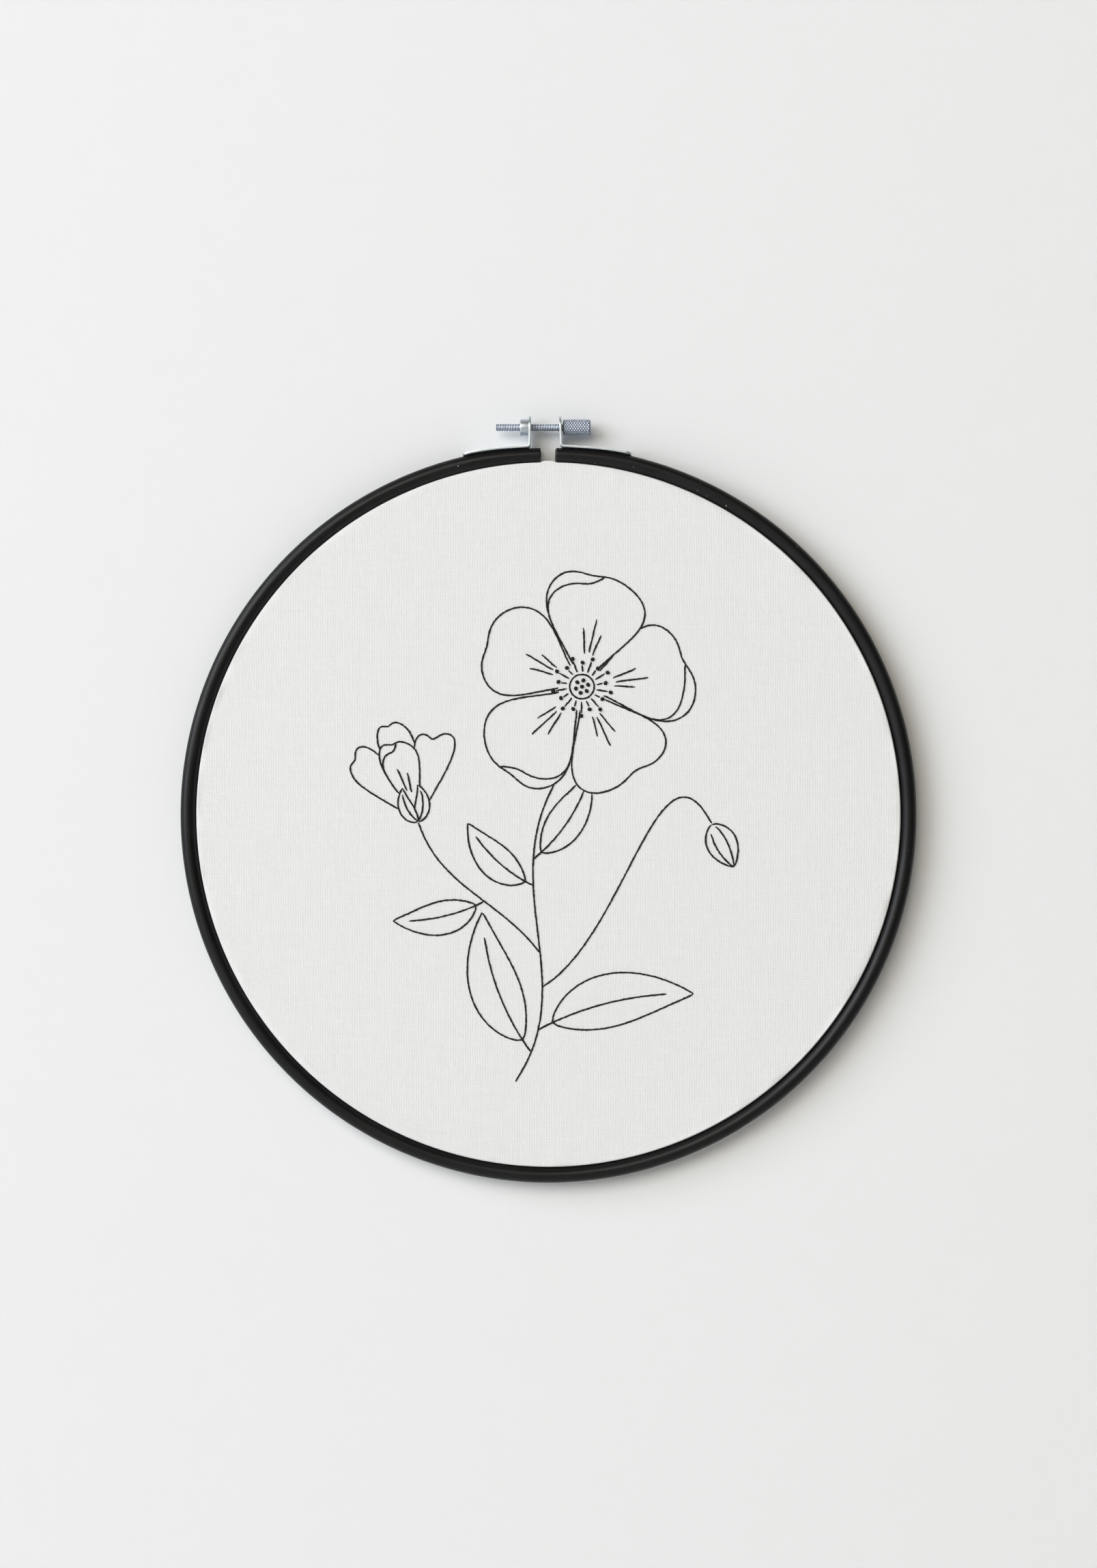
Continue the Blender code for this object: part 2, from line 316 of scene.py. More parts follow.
def linen_relief(x, z):
    """How far the stretched linen stands out of its plane: low waves, and pulls near the rim."""
    radius = math.hypot(x, z)
    wave = noise.noise(Vector((x / WAVE_LENGTH, z / WAVE_LENGTH, 3.1)))
    angle = math.atan2(x, z)
    pull = noise.noise(Vector((math.sin(angle) * PULLS_AROUND, math.cos(angle) * PULLS_AROUND, 7.7)))
    near_rim = max(0.0, (radius / CLOTH_RADIUS - 0.8) / 0.2)
    return WAVE_HEIGHT * wave + PULL_HEIGHT * pull * near_rim**1.5


def gap_bulge(angle, from_widest):
    """How far the linen swells into the hoop's split, at a depth measured from its widest line."""
    across = min(1.0, abs(angle) * BORE_RADIUS / (SPLIT_LEFT + 0.2 * MM))
    return GAP_BULGE * (1 - across**4) * max(0.0, 1 - (from_widest / RIM_ROUND) ** 2)


def frayed(angle):
    """How uneven the linen's hem is at an angle from the top."""
    return FRAY * noise.noise(Vector((math.sin(angle), math.cos(angle), 0.2)) * 90)


def rim_point(angle, radius, depth):
    """A point of the linen's rim or side, with the swell in the split and the frayed hem."""
    reach = radius + gap_bulge(angle, depth - CLOTH_WIDEST)
    uneven = frayed(angle) if depth == CLOTH_HEM else 0
    return (reach * math.sin(angle), -depth - uneven, HOOP_Z + reach * math.cos(angle))


def make_linen(material):
    """The drum skin: a flat disc, its rounded rim and the part between the hoops."""
    rim = arc((CLOTH_RADIUS - RIM_ROUND, CLOTH_WIDEST), RIM_ROUND, 90, 0, 9)
    side = [(CLOTH_RADIUS, depth) for depth in np.linspace(CLOTH_WIDEST, CLOTH_HEM, 5)[1:]]
    x, z = (rim[0][0] * part for part in square_to_disc(DISC_STEPS))
    relief = np.vectorize(linen_relief)(x, z)
    disc = np.stack([x, -CLOTH_FRONT - relief, z + HOOP_Z], axis=-1).reshape(-1, 3)

    edge = square_edge(DISC_STEPS + 1)
    angles = np.arctan2(x, z).ravel()[edge]
    rows = [[rim_point(angle, *place) for angle in angles] for place in [*rim[1:], *side]]
    numbers = len(disc) + np.arange(len(rows) * len(edge)).reshape(len(rows), -1)
    near = np.concatenate([edge[None, :], numbers])
    beside = np.roll(near, -1, axis=1)
    bands = np.stack([near[:-1], beside[:-1], beside[1:], near[1:]], axis=-1).reshape(-1, 4)
    points = np.concatenate([disc, np.reshape(rows, (-1, 3))])
    faces = grid_quads(*x.shape).tolist() + bands.tolist()
    linen = grid_piece("linen_sheet", points, faces, material, "hoop", 80)
    thick = linen.modifiers.new("thickness", "SOLIDIFY")
    thick.thickness = LINEN_THICK
    thick.offset = -1
    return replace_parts(linen, "cloth")


# The brackets, the nut and the screw


def ring_outside(angle):
    """The outer hoop's outer radius at an angle from the top."""
    return BORE_RADIUS + RING_WIDTH - float(seat_drop(angle))


def strip_middle(angle):
    """Radius of a bracket strip's middle surface at an angle from the top."""
    return ring_outside(angle) + GAP + SHEET / 2


def bend_centre(side, ear_x, lean):
    """Centre of the bend between strip and ear, and the directions up and away from the ear."""
    up = Vector((math.sin(lean), math.cos(lean)))
    away = Vector((side * up.y, -side * up.x))
    start = Vector((ear_x, SCREW_Z - HOOP_Z)) + away * BEND_RADIUS
    reach = strip_middle(ear_x / BORE_RADIUS) + BEND_RADIUS
    along = start.dot(up)
    down = -along + math.sqrt(along * along - start.dot(start) + reach * reach)
    return start + up * down, up, away


def strip_stations(length):
    """Places along a strip with its half width there: a rounded far end, then the full width."""
    half = STRIP_WIDTH / 2
    stations = []
    for angle in np.linspace(0, math.pi / 2, 9)[:-1]:
        stations.append((STRIP_CORNER * (1 - math.cos(angle)), half - STRIP_CORNER * (1 - math.sin(angle))))
    for along in np.linspace(STRIP_CORNER, length, 31):
        stations.append((along, half))
    return stations


def bracket_path(side, ear_x, lean, end_x):
    """A bracket's middle line with its half width: along the hoop, then round the bend."""
    centre, up, away = bend_centre(side, ear_x, lean)
    near = math.atan2(centre.x, centre.y)
    far = side * math.asin(end_x / strip_middle(SEAT_END / BORE_RADIUS))
    path = []
    for along, half in strip_stations(abs(far - near) * BORE_RADIUS):
        angle = far - side * along / BORE_RADIUS
        path.append((Vector((math.sin(angle), math.cos(angle))) * strip_middle(angle), half))
    first = math.atan2(-centre.y, -centre.x)
    last = math.atan2(-away.y, -away.x)
    turn = (last - first + math.pi) % math.tau - math.pi
    for share in np.linspace(0, 1, 13)[1:]:
        angle = first + turn * share
        path.append((centre + Vector((math.cos(angle), math.sin(angle))) * BEND_RADIUS, STRIP_WIDTH / 2))
    return path, up


def add_strip(bm, path):
    """A bracket's middle surface along its path, row by row; gives back the last row."""
    shares = np.linspace(-1, 1, STRIP_COLUMNS)
    rows = []
    for point, half in path:
        rows.append([bm.verts.new((point.x, half * s + SCREW_Y, HOOP_Z + point.y)) for s in shares])
    for low, high in zip(rows, rows[1:]):
        for i in range(len(low) - 1):
            bm.faces.new((low[i], low[i + 1], high[i + 1], high[i]))
    return rows[-1]


def ear_outline(rise):
    """The ear's outline, measured from its hole: its foot, a flank, the round top, a flank."""
    half = STRIP_WIDTH / 2
    flank = [-rise * share for share in (0.75, 0.5, 0.25)]
    outline = [(half * s, -rise) for s in np.linspace(-1, 1, STRIP_COLUMNS)]
    outline += [(half, height) for height in flank]
    outline += [tuple(p) for p in arc((0, 0), half, 0, 180, 24)]
    outline += [(-half, height) for height in flank[::-1]]
    return outline


def add_ear(bm, foot_row, foot, ear_x, up):
    """The ear's middle surface, from the strip's last row up, with its round hole."""
    hole = Vector((ear_x, SCREW_Z - HOOP_Z))
    edge = ear_outline((SCREW_Z - HOOP_Z - foot.y) / up.y)

    def on_ear(across, height):
        """A point on the ear, measured from its hole."""
        place = hole + up * height
        return (place.x, across + SCREW_Y, HOOP_Z + place.y)

    outer = foot_row + [bm.verts.new(on_ear(*p)) for p in edge[len(foot_row) :]]
    for share in (0.45, 0.0):
        inner = []
        for across, height in edge:
            to_hole = EAR_HOLE / math.hypot(across, height)
            scale = to_hole + (1 - to_hole) * share
            inner.append(bm.verts.new(on_ear(across * scale, height * scale)))
        for i in range(len(outer)):
            j = (i + 1) % len(outer)
            bm.faces.new((outer[i], outer[j], inner[j], inner[i]))
        outer = inner


def make_bracket(name, node, side, ear_x, lean, end_x, material):
    """A sheet strip bent up into an ear: its middle surface, thickened, with its edges broken."""
    path, up = bracket_path(side, ear_x, lean, end_x)
    bm = bmesh.new()
    last_row = add_strip(bm, path)
    add_ear(bm, last_row, path[-1][0], ear_x, up)
    bracket = finish_piece(name, bm, material, "hoop")
    thick = bracket.modifiers.new("sheet", "SOLIDIFY")
    thick.thickness = SHEET
    thick.offset = 0
    thick.use_even_offset = True
    soft = bracket.modifiers.new("broken_edges", "BEVEL")
    soft.width = BROKEN_EDGE
    soft.segments = 2
    soft.limit_method = "ANGLE"
    soft.angle_limit = math.radians(50)
    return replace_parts(bracket, node)


def make_nut(material):
    """The smooth collar, turned, its free edge rounded and its other end flush with the left ear."""
    start, end = NUT_LOW.x, EAR_LEFT_X - SHEET / 2
    free, seated = 0.35 * MM, 0.06 * MM
    outline = [(start, EAR_HOLE)]
    outline += [tuple(p) for p in arc((start + free, NUT_RADIUS - free), free, 180, 90, 6)]
    outline += [tuple(p) for p in arc((end - seated, NUT_RADIUS - seated), seated, 90, 0, 3)]
    outline += [(end, EAR_HOLE)]
    section = np.array(outline)
    angles = np.linspace(0, math.tau, 96, endpoint=False)[:, None]
    points = screw_points(section[:, 0], section[:, 1], angles)
    faces = grid_quads(*points.shape[:2], close_rows=True, close_columns=True).tolist()
    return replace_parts(grid_piece("clinch_nut", points, faces, material, "hoop"), "nut")


def make_shaft(material):
    """The threaded shaft: one helical ridge from its tip to its head."""
    start, end = SCREW_LOW.x, HEAD_START + 0.4 * MM
    x = np.linspace(start, end, 8 * round((end - start) / THREAD_PITCH) + 1)[:, None]
    angle = np.linspace(0, math.tau, 40, endpoint=False)[None, :]
    ridge = np.clip(zigzag(x / THREAD_PITCH - angle / math.tau) * 1.25, 0, 1)
    tip = SHAFT_RADIUS - np.clip(SCREW_CHAMFER - (x - start), 0, None) * 0.8
    radius = np.minimum(SHAFT_RADIUS - THREAD_DEPTH * (1 - ridge), tip)
    return turned_piece("screw_shaft", x, radius, angle, material)


def make_head(material):
    """The knurled head: two crossing sets of helical grooves leave rows of diamonds."""
    start, end = HEAD_START, SCREW_HIGH.x
    x = np.linspace(start, end, 121)[:, None]
    angle = np.linspace(0, math.tau, 12 * KNURL_AROUND, endpoint=False)[None, :]
    around = KNURL_AROUND * angle / math.tau
    along = (x - start) / KNURL_PITCH
    land = np.clip(np.minimum(zigzag(around + along), zigzag(around - along)) * 1.15, 0, 1)
    chamfer = HEAD_RADIUS - np.clip(SCREW_CHAMFER - np.minimum(x - start, end - x), 0, None)
    radius = np.minimum(HEAD_RADIUS - KNURL_DEPTH * (1 - land), chamfer)
    head = turned_piece("screw_head", x, radius, angle, material)
    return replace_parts(head, "thumb_screw")


def turned_piece(name, x, radius, angle, material):
    """A closed piece round the screw's axis, from rows of radii along it."""
    points = screw_points(x, radius, angle)
    rows, columns = points.shape[:2]
    faces = grid_quads(rows, columns, close_columns=True).tolist()
    faces += [list(range(columns)), list(range((rows - 1) * columns, rows * columns))]
    return grid_piece(name, points, faces, material, "screw", 60)


# The drawing: a plant in outline, in millimetres from the hoop's centre.
# A point is a complex number, across + 1j * up, and headings are in degrees from +X.


FLOWER_CENTRE = 12 + 46j
FLOWER_REACH = 41
PETAL_SPREAD = 50
EYE_RADIUS = 4.4
EYE_KNOTS = 6
EYE_KNOT_REACH = 2.3
STAMENS = 18
STAMEN_REACH = 10.5
STAMEN_CLEAR = 0.9
# For each petal of the open flower: its heading, size, wave and how far its rim turns over
OPEN_PETALS = (
    (80, 1.0, 0.3, 0.12),
    (152, 0.93, 2.1, 0),
    (10, 0.97, 3.0, -0.12),
    (226, 1.0, 1.2, 0.11),
    (-62, 0.95, 4.4, 0),
)
# For each crease of a petal: its place across, and the heights where it starts and ends
CREASES = ((-0.3, 0.2, 0.42), (-0.06, 0.22, 0.56), (0.22, 0.2, 0.46))
# For each petal of the half-open flower: its turn, size, spread, wave and turned rim
CUP_PETALS = (
    (4, 0.9, 26, 0.6, 0.12),
    (31, 1.0, 21, 2.4, 0),
    (-25, 1.0, 23, 4.0, 0),
    (3, 1.1, 20, 1.0, 0),
)
# For each leaf: its stem, the share along it, its turn from the stem, length, width and bend
LEAVES = (
    (0, 0.1, 58, 54, 18, -34),
    (0, 0.17, -50, 58, 19, -30),
    (0, 0.6, 62, 33, 12, -36),
    (1, 0.42, 64, 34, 12, -30),
    (0, 0.68, -48, 38, 13, 36),
)


def resample(line, step):
    """Evenly spaced points along a line."""
    reach = np.concatenate([[0], np.cumsum(np.abs(np.diff(line)))])
    even = np.linspace(0, reach[-1], max(2, round(reach[-1] / step)) + 1)
    return np.interp(even, reach, line.real) + 1j * np.interp(even, reach, line.imag)


def bezier(a, b, c, d):
    """A smooth line from a to d that leaves towards b and arrives from c."""
    t = np.linspace(0, 1, 80)
    return (1 - t) ** 3 * a + 3 * (1 - t) ** 2 * t * b + 3 * (1 - t) * t**2 * c + t**3 * d


def heading_at(line, share):
    """A line's point and heading at a share of its length."""
    even = resample(line, 0.5)
    i = min(len(even) - 2, int(share * (len(even) - 1)))
    return even[i], math.degrees(np.angle(even[i + 1] - even[i]))


def curved_axis(base, heading, length, bend):
    """A line from base along heading that turns by bend, and the direction at each point."""
    share = np.linspace(0, 1, 61)
    direction = np.exp(1j * np.radians(heading + bend * share))
    steps = (direction[1:] + direction[:-1]) / 2 * length / 60
    return base + np.concatenate([[0], np.cumsum(steps)]), direction, share


def leaf(base, heading, length, width, bend, stalk=0.1):
    """A pointed leaf on a short stalk, its blade a little fuller on one side, with its midrib."""
    axis, direction, share = curved_axis(base, heading, length, bend)
    blade = np.clip((share - stalk) / (1 - stalk), 0, 1)
    half = width / 2 * np.sin(math.pi * blade**0.78) ** 0.9
    left = axis + 1j * direction * half * 1.08
    right = axis - 1j * direction * half * 0.92
    outline = np.concatenate([left, right[::-1]])
    rib = axis[: int(0.84 * len(axis))]
    return [(outline, [left, right, rib])]


def fan_petal(centre, heading, inner, outer, spread, wave, curl=0.0, creases=()):
    """A broad petal, narrow at its base and softly waved outside.

    Where curl isn't 0, part of its rim turns over, on the side of the curl's sign. Each crease
    runs up from the base: its place across the petal, and the heights where it starts and ends.
    """
    side = np.linspace(-1, 1, 161)
    rise = (1 - np.abs(side) ** 3.4) ** 0.6
    rise = rise * (1 + 0.04 * np.sin(4.4 * side + wave) - 0.05 * np.exp(-(((side - 0.1) / 0.17) ** 2)))

    def place(at_side, at_rise):
        """A point of the petal, at a share of its width and height."""
        turn = np.radians(heading + spread * at_side * (0.6 + 0.4 * at_rise))
        return centre + (inner + (outer - inner) * at_rise) * np.exp(1j * turn)

    edge = place(side, rise)
    strokes = [edge]
    for crease, low, high in creases:
        up = np.linspace(low, high, 30)
        strokes.append(place(crease * (0.7 + 0.6 * up), up))
    if curl:
        along = np.linspace(0, 1, 60)
        at_side = np.sign(curl) * (0.86 * along - 0.04)
        at_rise = np.interp(at_side, side, rise) * (1 - abs(curl) * np.sin(math.pi * along**0.8))
        strokes.append(place(at_side, at_rise))
    return (edge, strokes)


def open_flower(centre, reach):
    """A flower seen from the front: its eye, stamens and overlapping petals, front ones first."""
    circle = np.exp(1j * np.linspace(0, math.tau, 73))
    sewn_round = np.exp(1j * np.linspace(0, math.tau * 1.03, 75))
    shapes = [(centre + EYE_RADIUS * circle, [centre + EYE_RADIUS * sewn_round])]
    for k in range(STAMENS):
        foot = centre + (EYE_RADIUS + STAMEN_CLEAR) * stamen_heading(k)
        top = stamen_tip(centre, k) - STAMEN_CLEAR * stamen_heading(k)
        shapes.append((None, [np.array([foot, top])]))
    shapes.append((centre + STAMEN_REACH * 0.78 * circle, []))
    for heading, size, wave, curl in OPEN_PETALS:
        petal = fan_petal(centre, heading, EYE_RADIUS, reach * size, PETAL_SPREAD, wave, curl, CREASES)
        shapes.append(petal)
    return shapes


def stamen_heading(k):
    """The direction of stamen k from the flower's centre."""
    return np.exp(1j * (k * math.tau / STAMENS + 0.15))


def stamen_tip(centre, k):
    """Where the knot of stamen k sits: long and short ones by turns."""
    return centre + STAMEN_REACH * (1.0 if k % 2 else 0.82) * stamen_heading(k)


def half_open_flower(base, heading, length):
    """A flower in profile: a cup of petals held by two small leaves."""
    shapes = leaf(base, heading + 42, length * 0.42, length * 0.16, -60, 0.0)
    shapes += leaf(base, heading - 42, length * 0.42, length * 0.16, 60, 0.0)
    for turn, size, spread, wave, curl in CUP_PETALS:
        creases = ((-0.2, 0.35, 0.6), (0.2, 0.38, 0.68)) if curl else ()
        shapes.append(fan_petal(base, heading + turn, 0.5, length * size, spread, wave, curl, creases))
    return shapes


def closed_bud(base, heading, length):
    """A nodding bud: a plump oval with two curved seams."""
    axis, direction, share = curved_axis(base, heading, length, 0)
    half = length * 0.32 * np.sin(math.pi * share**0.85) ** 0.7
    outline = np.concatenate([axis + 1j * direction * half, (axis - 1j * direction * half)[::-1]])
    seam = axis[4:] + 1j * direction[4:] * half[4:] * 0.35
    other = axis[10:] - 1j * direction[10:] * half[10:] * 0.45
    return [(outline, [outline, seam, other])]


def shown_parts(line, fronts):
    """The runs of a line that no outline in front of it covers."""
    line = resample(line, 0.4)
    shown = np.ones(len(line), bool)
    for outline in fronts:
        shown &= ~inside(line, outline)
    runs = np.split(np.arange(len(line)), np.flatnonzero(np.diff(shown)) + 1)
    return [line[run] for run in runs if shown[run[0]] and len(run) > 6]


def inside(points, outline):
    """Which points lie inside a closed outline."""
    x, y = points.real[:, None], points.imag[:, None]
    a, b = outline, np.roll(outline, -1)
    crosses = (a.imag > y) != (b.imag > y)
    slope = np.where(a.imag == b.imag, 1.0, b.imag - a.imag)
    at = a.real + (y - a.imag) * (b.real - a.real) / slope
    return np.count_nonzero(crosses & (x < at), axis=1) % 2 == 1


def clear_lines(shapes, fronts):
    """The lines of shapes, front ones first, with what the nearer ones hide left out."""
    lines = []
    for outline, strokes in shapes:
        for stroke in strokes:
            lines += shown_parts(stroke, fronts)
        if outline is not None:
            fronts.append(outline)
    return lines


def plant_drawing():
    """The whole drawing as named groups of lines, and the places of its knots."""
    main = bezier(-12 - 96j, 14 - 58j, -24 - 22j, 8 + 20j)
    fork, heading = heading_at(main, 0.4)
    left_stem = bezier(fork, fork + 24 * np.exp(1j * math.radians(heading + 30)), -40 - 26j, -47 - 2j)
    fork, heading = heading_at(main, 0.3)
    right_stem = bezier(fork, 28 - 44j, 40 + 34j, 59 - 4j)
    stems = [main, left_stem, right_stem]

    fronts = []
    flower = clear_lines(open_flower(FLOWER_CENTRE, FLOWER_REACH), fronts)
    tip, heading = heading_at(left_stem, 1.0)
    flower += clear_lines(half_open_flower(tip, heading - 4, 33), fronts)
    tip, heading = heading_at(right_stem, 1.0)
    flower += clear_lines(closed_bud(tip, heading, 17), fronts)

    leaves = []
    for stem, share, turn, length, width, bend in LEAVES:
        foot, heading = heading_at(stems[stem], share)
        leaves += leaf(foot, heading + turn, length, width, bend)
    leaf_lines = clear_lines(leaves, fronts)
    stem_lines = clear_lines([(None, [stem]) for stem in stems], fronts)

    turns = 0.3 + math.tau * np.arange(EYE_KNOTS) / EYE_KNOTS
    knots = [FLOWER_CENTRE, *(FLOWER_CENTRE + EYE_KNOT_REACH * np.exp(1j * turns))]
    knots += [stamen_tip(FLOWER_CENTRE, k) for k in range(STAMENS)]
    return {"flower": flower, "leaves": leaf_lines, "stems": stem_lines}, knots


# The stitches


def line_places(line, along):
    """Points and directions of a line in metres, at distances along it."""
    line = resample(line, 0.25) * MM
    reach = np.concatenate([[0], np.cumsum(np.abs(np.diff(line)))])
    direction = np.gradient(line)
    direction /= np.abs(direction)
    point = np.interp(along, reach, line.real) + 1j * np.interp(along, reach, line.imag)
    heading = np.interp(along, reach, direction.real) + 1j * np.interp(along, reach, direction.imag)
    return point, heading / np.abs(heading)


def stitch_rows(line, length, advance, steps):
    """For each stitch along a line, its points, directions and shares of its length."""
    total = np.abs(np.diff(line)).sum() * MM
    length = min(length, total)
    count = max(1, round((total - length) / advance) + 1)
    starts = np.linspace(0, total - length, count)[:, None]
    share = np.linspace(0, 1, steps + 1)[None, :]
    point, direction = line_places(line, starts + share * length)
    return point, direction, np.broadcast_to(share, point.shape)


def strands(lines, length, advance, slant, surface, outwards, steps, sides, seed):
    """Strands of thread along the lines: each dives into the cloth at both of its ends."""
    parts = [stitch_rows(line, length, advance, steps) for line in lines]
    point, direction, share = (np.concatenate(rows) for rows in zip(*parts))
    rng = np.random.default_rng(seed)
    size = 1 + STRAND_UNEVEN * rng.standard_normal((len(point), 1)).clip(-2, 2)
    drift = STRAND_DRIFT * rng.standard_normal((len(point), 1)).clip(-2, 2)
    middle = point + 1j * direction * (slant * (2 * share - 1) + drift)
    arch = np.sin(math.pi * share) ** 0.6
    height = surface + outwards * (arch * (STITCH_DIVE + STITCH_RISE * size) - STITCH_DIVE)
    taper = np.clip(0.5 + 1.6 * np.sin(math.pi * share), 0, 1) * size
    around = np.linspace(0, math.tau, sides, endpoint=False)
    wide = (STRAND_HALF_WIDTH * taper)[..., None] * np.cos(around)
    high = (STRAND_HALF_HEIGHT * taper)[..., None] * np.sin(around)
    place = middle[..., None] + 1j * direction[..., None] * wide
    return np.stack([place.real, -(height[..., None] + high), HOOP_Z + place.imag], axis=-1)


def make_stitches(name, lines, material, **settings):
    """One piece from all the strands along a group of lines."""
    points = strands(lines, **settings)
    count, rows, columns = points.shape[:3]
    each = rows * columns
    quads = grid_quads(rows, columns, close_columns=True)
    caps = np.stack([np.arange(columns), each - columns + np.arange(columns)])
    offsets = np.arange(count)[:, None, None] * each
    faces = (quads + offsets).reshape(-1, 4).tolist() + (caps + offsets).reshape(-1, columns).tolist()
    return grid_piece(name, points, faces, material, "hoop", 180)


def make_knots(places, material):
    """French knots: round wound knots that stand on the cloth."""
    across = np.linspace(0, math.pi, 27)[:, None]
    around = np.linspace(0, math.tau, 26, endpoint=False)[None, :]
    points = []
    for k, place in enumerate(places):
        wound = 1 + 0.1 * np.cos(around + 9 * across + k) + 0.07 * np.cos(2 * around + 2.4 * k)
        flat = KNOT_RADIUS * np.sin(across) * wound
        x = place.real * MM + flat * np.cos(around)
        z = HOOP_Z + place.imag * MM + flat * np.sin(around)
        y = -(CLOTH_FRONT + KNOT_LIFT) - KNOT_HALF_HEIGHT * np.cos(across) * np.ones_like(around)
        points.append(np.stack([x, y, z], axis=-1))
    points = np.array(points)
    count, rows, columns = points.shape[:3]
    offsets = np.arange(count)[:, None, None] * rows * columns
    faces = (grid_quads(rows, columns, close_columns=True) + offsets).reshape(-1, 4).tolist()
    return grid_piece("knots", points, faces, material, "hoop", 180)


# Node materials


def new_material(name, colour, roughness, metallic=0.0):
    """A material with its node tree and its surface shader."""
    material = bpy.data.materials.new(name)
    material.use_nodes = True
    shader = material.node_tree.nodes["Principled BSDF"]
    shader.inputs["Base Color"].default_value = (*colour, 1)
    shader.inputs["Roughness"].default_value = roughness
    shader.inputs["Metallic"].default_value = metallic
    return material, material.node_tree, shader


def node(tree, kind, inputs=None, **settings):
    """A node with its settings, and its inputs given as values or as other nodes' sockets."""
    made = tree.nodes.new(kind)
    for key, value in settings.items():
        setattr(made, key, value)
    for key, value in (inputs or {}).items():
        if isinstance(value, bpy.types.NodeSocket):
            tree.links.new(value, made.inputs[key])
        else:
            made.inputs[key].default_value = value
    return made


def compute(tree, operation, *values):
    """One arithmetic step."""
    return node(tree, "ShaderNodeMath", dict(enumerate(values)), operation=operation).outputs[0]


def noise_at(tree, vector, scale, detail=2.0, roughness=0.5):
    """Soft noise between 0 and 1."""
    inputs = {"Vector": vector, "Scale": scale, "Detail": detail, "Roughness": roughness}
    return node(tree, "ShaderNodeTexNoise", inputs).outputs["Fac"]


def remap(tree, value, low, high, to_low=0.0, to_high=1.0):
    """A value carried from one range to another, and held within it."""
    inputs = {"Value": value, "From Min": low, "From Max": high, "To Min": to_low, "To Max": to_high}
    return node(tree, "ShaderNodeMapRange", inputs).outputs["Result"]


def mix_colours(tree, share, first, second):
    """The first colour where share is 0 and the second where it is 1."""
    made = node(tree, "ShaderNodeMix", {0: share}, data_type="RGBA")
    for index, value in ((6, first), (7, second)):
        if isinstance(value, bpy.types.NodeSocket):
            tree.links.new(value, made.inputs[index])
        else:
            made.inputs[index].default_value = (*value, 1)
    return made.outputs[2]


def bump(tree, height, distance, under=None):
    """A bump of real height in metres, on top of another where one is given."""
    inputs = {"Height": height, "Distance": distance, "Strength": 1.0}
    if under is not None:
        inputs["Normal"] = under
    return node(tree, "ShaderNodeBump", inputs).outputs["Normal"]


def place_on_object(tree):
    """The point in the object's own coordinates, in metres."""
    return node(tree, "ShaderNodeTexCoord").outputs["Object"]


def parts_of(tree, vector):
    """The X, Y and Z of a vector."""
    parts = node(tree, "ShaderNodeSeparateXYZ", {"Vector": vector}).outputs
    return parts["X"], parts["Y"], parts["Z"]


def combined(tree, x, y, z):
    """A vector from its three parts."""
    return node(tree, "ShaderNodeCombineXYZ", {"X": x, "Y": y, "Z": z}).outputs["Vector"]


def along_hoop(tree, vector, stretch):
    """Coordinates that run round the hoop, stretched along it, as wood grain does."""
    x, y, z = parts_of(tree, vector)
    up = compute(tree, "SUBTRACT", z, HOOP_Z)
    turned = compute(tree, "ARCTAN2", compute(tree, "MULTIPLY", x, -1), compute(tree, "MULTIPLY", up, -1))
    along = compute(tree, "MULTIPLY", turned, RING_MIDDLE / stretch)
    squares = compute(tree, "ADD", compute(tree, "POWER", x, 2), compute(tree, "POWER", up, 2))
    return combined(tree, along, compute(tree, "SQRT", squares), y)


def black_paint():
    """Satin black paint over wood: faint grain and brush marks, a few pale nicks."""
    material, tree, shader = new_material("black_paint", (0.006, 0.006, 0.0065), 0.3)
    vector = place_on_object(tree)
    grain = noise_at(tree, along_hoop(tree, vector, 18), 1400, 3)
    peel = noise_at(tree, vector, 900, 2)
    nicks = node(tree, "ShaderNodeTexVoronoi", {"Vector": vector, "Scale": 300.0}, feature="F1")
    ragged = compute(tree, "MULTIPLY_ADD", noise_at(tree, vector, 4200, 2), 0.16, nicks.outputs["Distance"])
    near_split = remap(tree, parts_of(tree, vector)[2], -30 * MM, -14 * MM, 0.12, 1.0)
    bare = compute(tree, "MULTIPLY", remap(tree, ragged, 0.135, 0.115), near_split)
    worn = remap(tree, noise_at(tree, vector, 60, 3), 0.35, 0.7)
    dark = mix_colours(tree, worn, (0.003, 0.003, 0.0034), (0.0065, 0.0065, 0.007))
    tree.links.new(mix_colours(tree, bare, dark, (0.55, 0.53, 0.5)), shader.inputs["Base Color"])
    tree.links.new(remap(tree, grain, 0.3, 0.7, 0.34, 0.46), shader.inputs["Roughness"])
    shader.inputs["Specular IOR Level"].default_value = 0.27
    under = bump(tree, peel, 0.012 * MM)
    tree.links.new(bump(tree, grain, 0.02 * MM, under), shader.inputs["Normal"])
    return material


def pale_wood():
    """Bare sanded wood bent into a ring, its grain running round."""
    material, tree, shader = new_material("pale_wood", (0.62, 0.45, 0.28), 0.6)
    vector = place_on_object(tree)
    grain = noise_at(tree, along_hoop(tree, vector, 26), 1500, 5, 0.6)
    bands = noise_at(tree, along_hoop(tree, vector, 40), 420, 2)
    tone = mix_colours(tree, remap(tree, bands, 0.3, 0.7), (0.66, 0.49, 0.31), (0.55, 0.38, 0.22))
    dark = mix_colours(tree, remap(tree, grain, 0.48, 0.72), tone, (0.36, 0.23, 0.12))
    tree.links.new(dark, shader.inputs["Base Color"])
    tree.links.new(remap(tree, grain, 0.3, 0.7, 0.52, 0.72), shader.inputs["Roughness"])
    tree.links.new(bump(tree, grain, 0.05 * MM), shader.inputs["Normal"])
    return material


